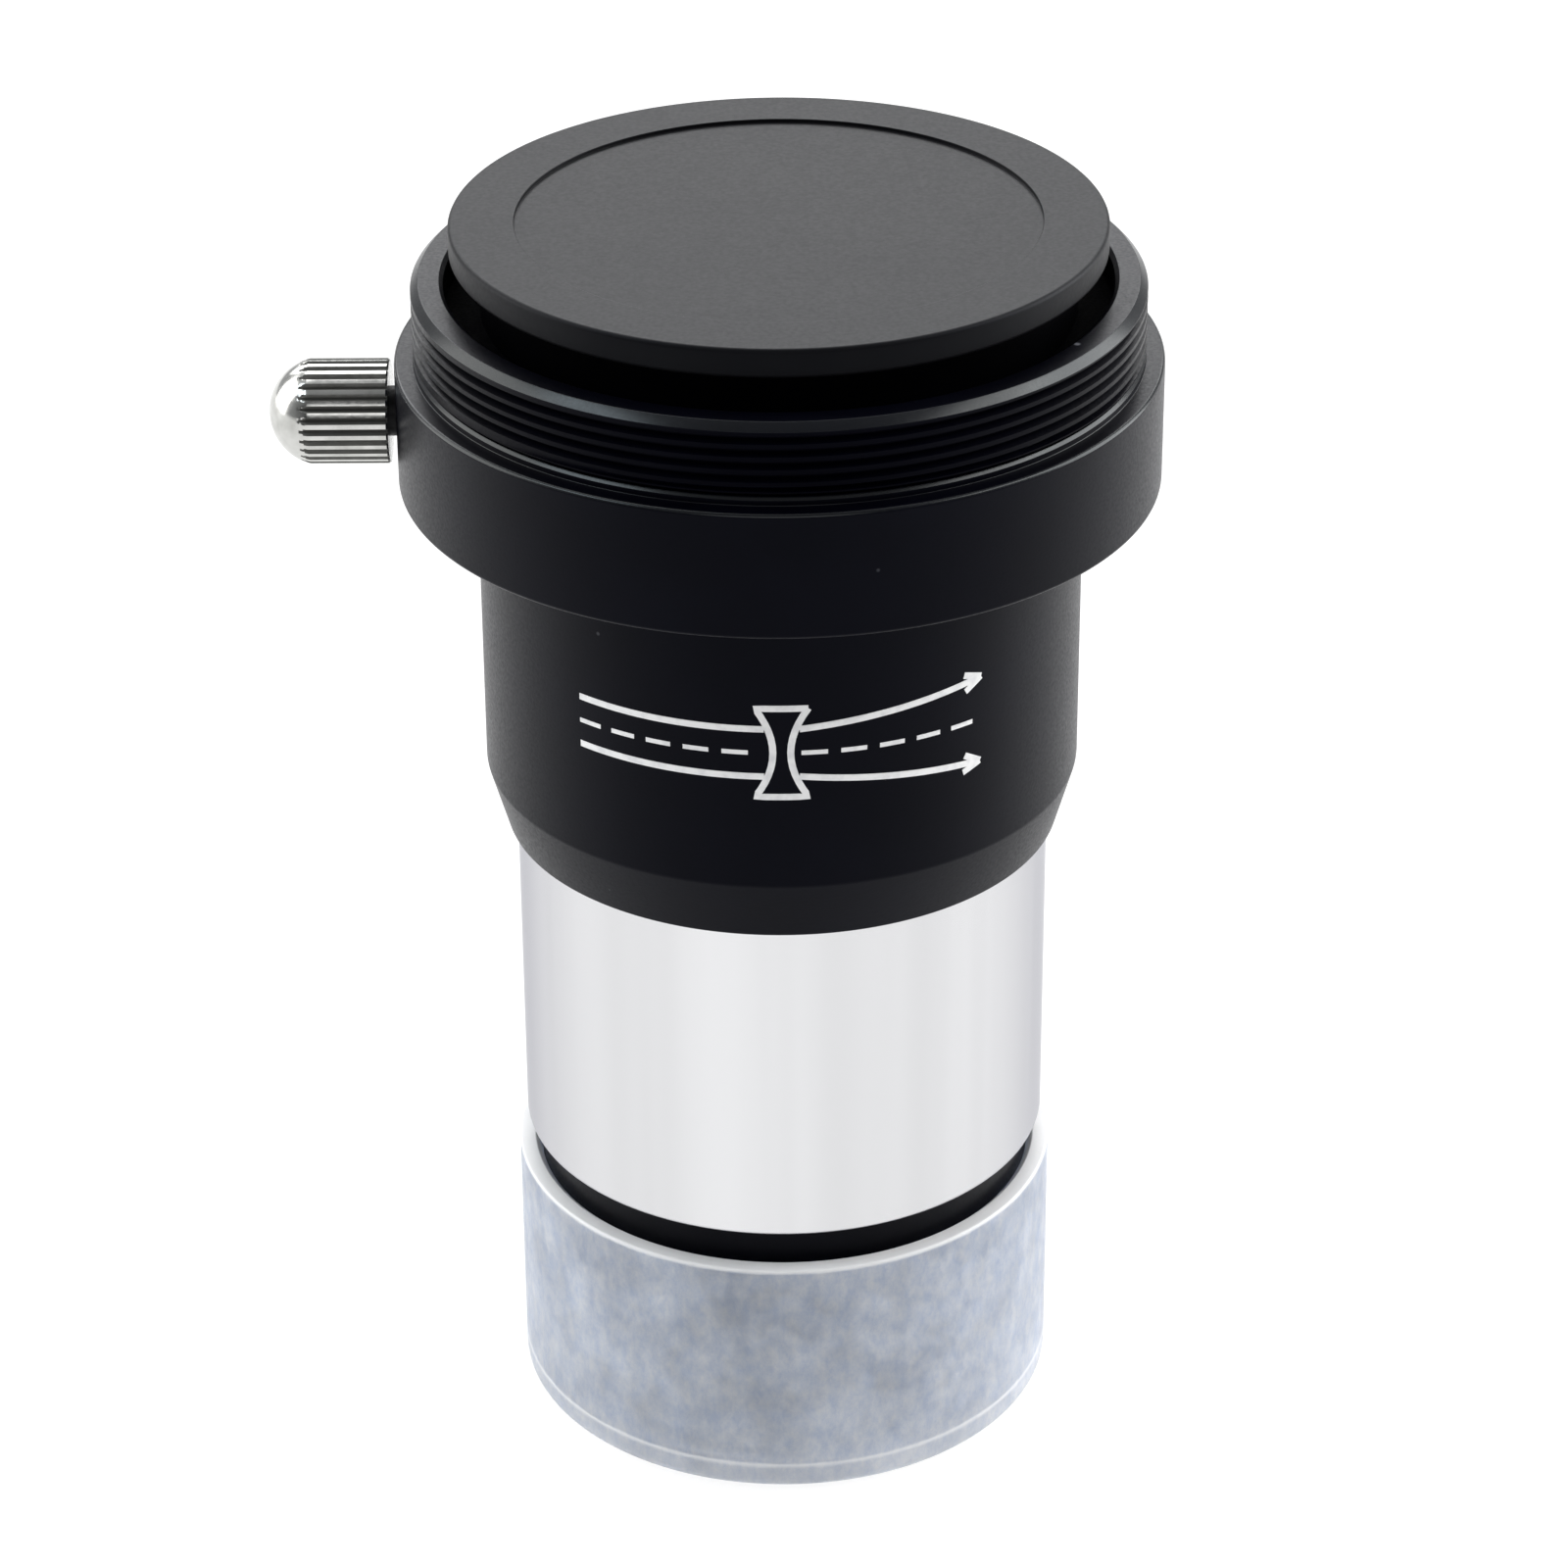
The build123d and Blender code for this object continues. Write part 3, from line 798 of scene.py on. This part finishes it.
def paintShadeInFlutes(piece, material):
    # faces that lie below the lands, along the fluted length, take a painted shade that darkens the
    # flutes
    piece.data.materials.append(material)
    lowest = (knobRadius - knob["fluteDepth"] * knob["shadeDepth"]) * mm
    last = (knobInner + knob["fluteLength"] + knob["shadeRunout"]) * mm
    for face in piece.data.polygons:
        spots = [piece.data.vertices[v].co for v in face.vertices]
        reach = [math.hypot(p.x, p.y) for p in spots]
        steep = abs(face.normal.x * face.center.y - face.normal.y * face.center.x) / face.center.length
        if min(reach) < lowest and face.center.z < last and abs(face.normal.z) < 0.3 and steep > 0.02:
            face.material_index = 1


chrome, tree, shader = newMaterial("knobChrome", {"Metallic": 1.0})
place = surfacePlace(tree)
worn = noise(tree, place, 700, 4)
tree.links.new(
    blendColors(tree, ramp(tree, worn, 0.4, 0.7, 0, 1), knob["color"], knob["shade"]),
    shader.inputs["Base Color"],
)
roughen(tree, shader, noise(tree, place, 3200, 3), knob["roughnessLow"], knob["roughnessHigh"])
addBump(tree, shader, [(noise(tree, place, 1800, 3), 0.08, 0.02)])
knobPiece = addPiece(
    "thumbscrewKnob", flutedMesh("thumbscrewKnob"), "thumbscrew", chrome,
    ["thumbscrew_knob"], alongScrew,
)
# painted shade in the flutes: a darker, duller metal standing in for the shade in the grooves
paintedFluteShade, tree, shader = newMaterial("paintedFluteShade", {"Metallic": 0.8})
place = surfacePlace(tree)
tree.links.new(
    blendColors(tree, noise(tree, place, 1500, 3), knob["groove"], (0.12, 0.12, 0.11)),
    shader.inputs["Base Color"],
)
roughen(tree, shader, noise(tree, place, 3000, 2), 0.35, 0.5)
addBump(tree, shader, [(noise(tree, place, 3000, 2), 0.1, 0.01)])
paintShadeInFlutes(knobPiece, paintedFluteShade)

stud = {"pocketRadius": 1.05, "pocketDepth": 0.95, "edge": 0.12, "columns": 96}
studThread = {"pitch": 0.5, "groove": 0.38, "depth": 0.22, "fade": 0.1}
studTip, studEnd = -studBox[1].x, -studBox[0].x
steel, tree, shader = newMaterial("blackOxideSteel", {"Metallic": 0.6, "Specular IOR Level": 0.4})
place = surfacePlace(tree)
tree.links.new(
    blendColors(tree, noise(tree, place, 1500, 3), (0.008, 0.008, 0.009), (0.02, 0.02, 0.022)),
    shader.inputs["Base Color"],
)
roughen(tree, shader, noise(tree, place, 4000, 2), 0.35, 0.5)
addBump(tree, shader, [(noise(tree, place, 5000, 2), 0.15, 0.01)])
studFront = softOutline([
    (0, studTip + stud["pocketDepth"]),
    (stud["pocketRadius"], studTip + stud["pocketDepth"], 0.03),
    (stud["pocketRadius"], studTip, 0.03),
    (studRadius - stud["edge"], studTip, 0.03),
    (studRadius, studTip + stud["edge"], 0.03),
    (studRadius, studTip + stud["edge"] + 0.05),
], closed=False)
studBack = softOutline([(studRadius, collarRadius), (studRadius, studEnd), (0, studEnd)], closed=False)
studWound = threadRows(
    studRadius, studTip + stud["edge"] + 0.08, collarRadius - 0.05, studThread, stud["columns"]
)
addPiece(
    "thumbscrewStud",
    skinRows("thumbscrewStud", studFront + studWound + studBack, False, stud["columns"]),
    "thumbscrew", steel, ["thumbscrew_stud"], alongScrew,
)
print("thumbscrew done")


# ---- top dust cap: moulded black plastic with a shallow round recess

topCap = {
    "edge": 0.26,
    "recessRadius": 15.0,
    "recessDepth": 0.2,
    "wall": 1.3,
    "neckWall": 2.5,
    "plugGap": 0.05,
    "standOff": 1.7,
    "color": (0.004, 0.004, 0.005),
    "paler": (0.007, 0.007, 0.0078),
    "gloss": (0.15, 0.16, 0.19),
    "roughnessLow": 0.42,
    "roughnessHigh": 0.48,
    "columns": 320,
    "dust": {"scale": 150, "size": 0.05, "share": 0.14, "strength": 0.45, "color": (0.4, 0.4, 0.42)},
}
capLow, capHigh = (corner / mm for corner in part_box("top_dust_cap"))
flangeBottom = capHigh.z - topCap["standOff"]
plugRadius = boreRadius - topCap["plugGap"]
plugInner = plugRadius - topCap["wall"]
neckRadius = plugInner + topCap["neckWall"]
recessFloor = capHigh.z - topCap["recessDepth"]
hollowTop = recessFloor - topCap["wall"]

capPlastic, tree, shader = newMaterial(
    "blackCapPlastic", {"Specular IOR Level": 0.5, "Specular Tint": (*topCap["gloss"], 1), "IOR": 1.5}
)
place = surfacePlace(tree)
cloud = noise(tree, place, 120, 4)
color = blendColors(tree, ramp(tree, cloud, 0.35, 0.7, 0, 1), topCap["color"], topCap["paler"])
tree.links.new(dustOver(tree, place, color, topCap["dust"]), shader.inputs["Base Color"])
grain = noise(tree, place, 3800, 3)
roughen(tree, shader, grain, topCap["roughnessLow"], topCap["roughnessHigh"])
addBump(tree, shader, [(grain, 0.1, 0.015), (noise(tree, place, 260, 2), 0.05, 0.05)])

capRows = softOutline([
    (0, hollowTop),
    (plugInner, hollowTop, 0.5),
    (plugInner, capLow.z, 0.2),
    (plugRadius - 0.6, capLow.z, 0.1),
    (plugRadius, capLow.z + 0.6, 0.2),
    (plugRadius, counterboreFloor + 0.02, 0.05),
    (neckRadius, counterboreFloor + 0.02, 0.2),
    (neckRadius, flangeBottom, 0.15),
    (capHigh.x, flangeBottom, topCap["edge"]),
    (capHigh.x, capHigh.z, topCap["edge"]),
    (topCap["recessRadius"], capHigh.z, 0.05),
    (topCap["recessRadius"], recessFloor, 0.03),
    (0, recessFloor),
], closed=False)
capPiece = addPiece(
    "topDustCap", skinRows("topDustCap", capRows, False, topCap["columns"]),
    "top_cap", capPlastic, ["top_dust_cap"],
)
# the neck and the flange's underside take the darker, duller black as painted shade under the flange
capPiece.data.materials.append(blackAnodise("paintedShadeCapNeck", mattShadeBlack))
for face in capPiece.data.polygons:
    face.material_index = 1 if face.center.z < (flangeBottom + 0.02) * mm else 0
print("top cap done")


# ---- bottom dust cap: frosted, the dark cell shows softly through it

footCap = {
    "floor": 1.6,
    "wall": 1.0,
    "lipWall": 1.32,
    "lipHeight": 2.0,
    "lipFlat": 0.95,
    "lipRound": 0.13,
    "footRound": 0.7,
    "clear": (0.58, 0.65, 0.79),
    "cloudy": (0.83, 0.85, 0.89),
    # the white of a painted highlight along the top of the lip and of a lighter band near the bottom,
    # and the heights where it shows
    "bandAndHighlightColor": (0.93, 0.93, 0.93),
    "whiteBandsAndHighlight": [(0.092, 0.2), (0.11, 0.8), (0.122, 0.05), (0.98, 0.0), (0.99, 0.9)],
    "throughLow": 0.36,
    "throughHigh": 0.66,
    "roughnessLow": 0.38,
    "roughnessHigh": 0.52,
    "columns": 288,
}
footLow, footHigh = (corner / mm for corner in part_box("bottom_dust_cap"))
lipRadius = footHigh.x - footCap["lipWall"]
footInner = footHigh.x - footCap["wall"]
lipBottom = footHigh.z - footCap["lipHeight"]

frosted, tree, shader = newMaterial("frostedPlastic", {"IOR": 1.5, "Specular IOR Level": 0.5})
place = surfacePlace(tree)
blotch = noise(tree, place, 170, 9, 0.72)
mottle = noise(tree, place, 900, 4, 0.6)
drawn = addNode(tree, "ShaderNodeMapping", {"Scale": (1, 1, 0.6)})
tree.links.new(place, drawn.inputs["Vector"])
streaks = noise(tree, drawn.outputs[0], 1100, 7, 0.78)
body = blendColors(tree, ramp(tree, streaks, 0.36, 0.64, 0, 1), footCap["clear"], footCap["cloudy"])
split = addNode(tree, "ShaderNodeSeparateXYZ")
tree.links.new(place, split.inputs[0])
rise = ramp(tree, split.outputs["Z"], footLow.z * mm, footHigh.z * mm, 0, 1)
white = addNode(tree, "ShaderNodeValToRGB")     # how white the colour is at each height: a painted highlight along the top of the lip, a lighter band near the bottom
stops = white.color_ramp.elements
stops[0].position, stops[0].color = 0.0, (0.35, 0.35, 0.35, 1)
stops[1].position, stops[1].color = 1.0, (1, 1, 1, 1)
for share, amount in footCap["whiteBandsAndHighlight"]:
    stops.new(share).color = (amount, amount, amount, 1)
tree.links.new(rise, white.inputs[0])
paint = addNode(tree, "ShaderNodeMix", data_type="RGBA")
tree.links.new(white.outputs["Color"], paint.inputs[0])
tree.links.new(body, paint.inputs[6])
paint.inputs[7].default_value = (*footCap["bandAndHighlightColor"], 1)
tree.links.new(paint.outputs[2], shader.inputs["Base Color"])
through = addNode(tree, "ShaderNodeMath", operation="MULTIPLY")
tree.links.new(
    ramp(tree, blotch, 0.35, 0.65, footCap["throughHigh"], footCap["throughLow"]), through.inputs[0]
)
tree.links.new(ramp(tree, white.outputs["Color"], 0, 1, 1, 0.25), through.inputs[1])
tree.links.new(through.outputs[0], shader.inputs["Transmission Weight"])
roughen(tree, shader, mottle, footCap["roughnessLow"], footCap["roughnessHigh"])
addBump(tree, shader, [(mottle, 0.15, 0.05), (noise(tree, place, 3600, 2), 0.1, 0.02)])

footRows = softOutline([
    (0, footLow.z),
    (footHigh.x, footLow.z, footCap["footRound"]),
    (footHigh.x, footHigh.z, footCap["lipRound"]),
    (footHigh.x - footCap["lipFlat"], footHigh.z, footCap["lipRound"]),
    (lipRadius, footHigh.z - footCap["lipWall"] + footCap["lipFlat"], 0.1),
    (lipRadius, lipBottom, 0.1),
    (footInner, lipBottom, 0.1),
    (footInner, footCap["floor"], 0.4),
    (0, footCap["floor"]),
], closed=False)
addPiece(
    "bottomDustCap", skinRows("bottomDustCap", footRows, False, footCap["columns"]),
    "bottom_cap", frosted, ["bottom_dust_cap"],
)
print("bottom cap done")


# ---- a plain optical sketch printed on the body, in place of any wording

mark = {
    "height": 51.6,
    "halfLength": 12.4,
    "line": 0.4,
    "lensHalf": 2.8,
    "lensWide": 1.5,
    "lensWaist": 0.5,
    "rayGap": 1.5,
    "raySpread": 2.7,
    "rayStart": 1.0,
    "tipInset": 0.2,
    "dash": 1.5,
    "dashClear": 0.9,
    "barbLength": 1.3,
    "barbAngle": 0.42,
    "proud": 0.03,
    "sunk": 0.06,
    "color": (0.86, 0.86, 0.86),
    "worn": (0.74, 0.74, 0.75),
}


def wrapped(across, up, out):
    # a point of the flat sketch, laid round the front of the body
    radius = bodyRadius + out
    angle = -math.pi / 2 + across / bodyRadius
    return (
        radius * math.cos(angle) * mm,
        radius * math.sin(angle) * mm,
        (mark["height"] + up) * mm,
    )


def inkStroke(work, path, width):
    # a flat stroke with a little thickness along a path on the sketch
    points = [Vector(p) for p in path]
    fine = [points[0]]
    for a, b in zip(points, points[1:]):
        pieces = max(1, math.ceil((b - a).length / 0.5))
        fine += [a.lerp(b, (i + 1) / pieces) for i in range(pieces)]
    rings = []
    for i, p in enumerate(fine):
        ahead = fine[min(i + 1, len(fine) - 1)] - fine[max(i - 1, 0)]
        side = Vector((-ahead.y, ahead.x)).normalized() * width / 2
        left, right = p + side, p - side
        rings.append([
            work.verts.new(wrapped(left.x, left.y, mark["proud"])),
            work.verts.new(wrapped(right.x, right.y, mark["proud"])),
            work.verts.new(wrapped(right.x, right.y, -mark["sunk"])),
            work.verts.new(wrapped(left.x, left.y, -mark["sunk"])),
        ])
    for a, b in zip(rings, rings[1:]):
        for i in range(4):
            k = (i + 1) % 4
            work.faces.new((a[i], a[k], b[k], b[i]))
    work.faces.new(rings[0])
    work.faces.new(rings[-1])


def lensOutline():
    # a biconcave lens seen from the side
    right = []
    for i in range(13):
        up = mark["lensHalf"] * (1 - i / 6)
        bow = (up / mark["lensHalf"]) ** 2
        right.append((mark["lensWaist"] + (mark["lensWide"] - mark["lensWaist"]) * bow, up))
    left = [(-x, y) for x, y in reversed(right)]
    return right + left + [right[0]]


work = bmesh.new()
end, gap, spread = mark["halfLength"], mark["rayGap"], mark["raySpread"]
inkStroke(work, lensOutline(), mark["line"])
dash, clear = mark["dash"], mark["dashClear"]
start, arrow = mark["rayStart"], end - mark["tipInset"]
x = -end
while x < end - mark["line"]:
    if x + dash < -clear or x > clear:
        inkStroke(work, [(x, 0), (min(x + dash, end), 0)], mark["line"] * 0.7)
    x += dash * 1.5
for sign in (-1, 1):
    inkStroke(work, [(-end, sign * gap), (-start, sign * gap)], mark["line"])
    inkStroke(work, [(start, sign * gap), (arrow, sign * spread)], mark["line"])
    slope = math.atan2((spread - gap) * sign, end - 1.2)
    for barb in (math.pi - mark["barbAngle"], math.pi + mark["barbAngle"]):
        tip = (arrow, sign * spread)
        back = (
            tip[0] + mark["barbLength"] * math.cos(slope + barb),
            tip[1] + mark["barbLength"] * math.sin(slope + barb),
        )
        inkStroke(work, [back, tip], mark["line"])
bmesh.ops.recalc_face_normals(work, faces=work.faces)
markMesh = bpy.data.meshes.new("printedSketch")
work.to_mesh(markMesh)
work.free()

ink, tree, shader = newMaterial("whiteInk", {"Specular IOR Level": 0.3})
place = surfacePlace(tree)
wear = ramp(tree, noise(tree, place, 1500, 3), 0.45, 0.7, 0, 1)
tree.links.new(blendColors(tree, wear, mark["color"], mark["worn"]), shader.inputs["Base Color"])
roughen(tree, shader, noise(tree, place, 2500, 2), 0.45, 0.6)
addBump(tree, shader, [(noise(tree, place, 4200, 2), 0.12, 0.01)])
sketch = addPiece("printedSketch", markMesh, "holder", ink)
sketch.modifiers.clear()
print("sketch printed")


# ---- inside pieces keep their frame shapes and get their own finishes

inside = {
    "brass": (0.62, 0.42, 0.16),
    "brassDull": (0.45, 0.29, 0.11),
    "baffle": (0.004, 0.004, 0.0045),
    "nylon": (0.8, 0.79, 0.72),
    "crown": (0.93, 1.0, 0.96),
    "flint": (0.96, 0.99, 1.0),
}


def carry(node, material):
    piece = frame["nodes"][node]
    piece.data.materials.clear()
    piece.data.materials.append(material)
    return piece


brass, tree, shader = newMaterial("clampBrass", {"Metallic": 1.0, "Anisotropic": 0.3})
place, rings = surfacePlace(tree), ringPlace(tree)
dull = ramp(tree, noise(tree, place, 350, 4), 0.4, 0.65, 0, 1)
tree.links.new(
    blendColors(tree, dull, inside["brass"], inside["brassDull"]), shader.inputs["Base Color"]
)
marks = noise(tree, rings, 9000, 2)
roughen(tree, shader, marks, 0.22, 0.38)
addBump(tree, shader, [(marks, 0.15, 0.01)])
carry("clamp_ring", brass)

matt, tree, shader = newMaterial("baffleMatt", {"Specular IOR Level": 0.15})
place = surfacePlace(tree)
tree.links.new(
    blendColors(tree, noise(tree, place, 900, 3), inside["baffle"], (0.008, 0.008, 0.009)),
    shader.inputs["Base Color"],
)
roughen(tree, shader, noise(tree, place, 3000, 2), 0.75, 0.95)
addBump(tree, shader, [(noise(tree, place, 3500, 3), 0.3, 0.02)])
carry("light_baffle", matt)

ringBlack = blackAnodise(
    "retainingRingBlack",
    dict(black, color=(0.006, 0.006, 0.007), paler=(0.012, 0.012, 0.013), gloss=(0.6, 0.6, 0.62)),
)
carry("lens_retaining_ring", ringBlack)

nylon, tree, shader = newMaterial(
    "naturalNylon", {"Specular IOR Level": 0.4, "Subsurface Weight": 0.2, "Subsurface Scale": 0.0005}
)
place = surfacePlace(tree)
tree.links.new(
    blendColors(tree, noise(tree, place, 1200, 3), inside["nylon"], (0.7, 0.68, 0.6)),
    shader.inputs["Base Color"],
)
roughen(tree, shader, noise(tree, place, 3000, 2), 0.4, 0.55)
addBump(tree, shader, [(noise(tree, place, 4000, 2), 0.15, 0.01)])
carry("thumbscrew_tip_pad", nylon)

coatings = {"crown_lens": ("crown", 1.52, 430.0), "flint_lens": ("flint", 1.62, 360.0)}
for node, (glassName, index, film) in coatings.items():
    glass, tree, shader = newMaterial(
        glassName + "Glass",
        {
            "Transmission Weight": 1.0,
            "IOR": index,
            "Thin Film Thickness": film,
            "Thin Film IOR": 1.38,
        },
    )
    place = surfacePlace(tree)
    haze = noise(tree, place, 300, 4)
    tree.links.new(
        blendColors(tree, ramp(tree, haze, 0.3, 0.7, 0, 1), inside[glassName], (0.97, 1.0, 0.99)),
        shader.inputs["Base Color"],
    )
    roughen(tree, shader, haze, 0.0, 0.03)
    carry(node, glass)
print("inside pieces finished")
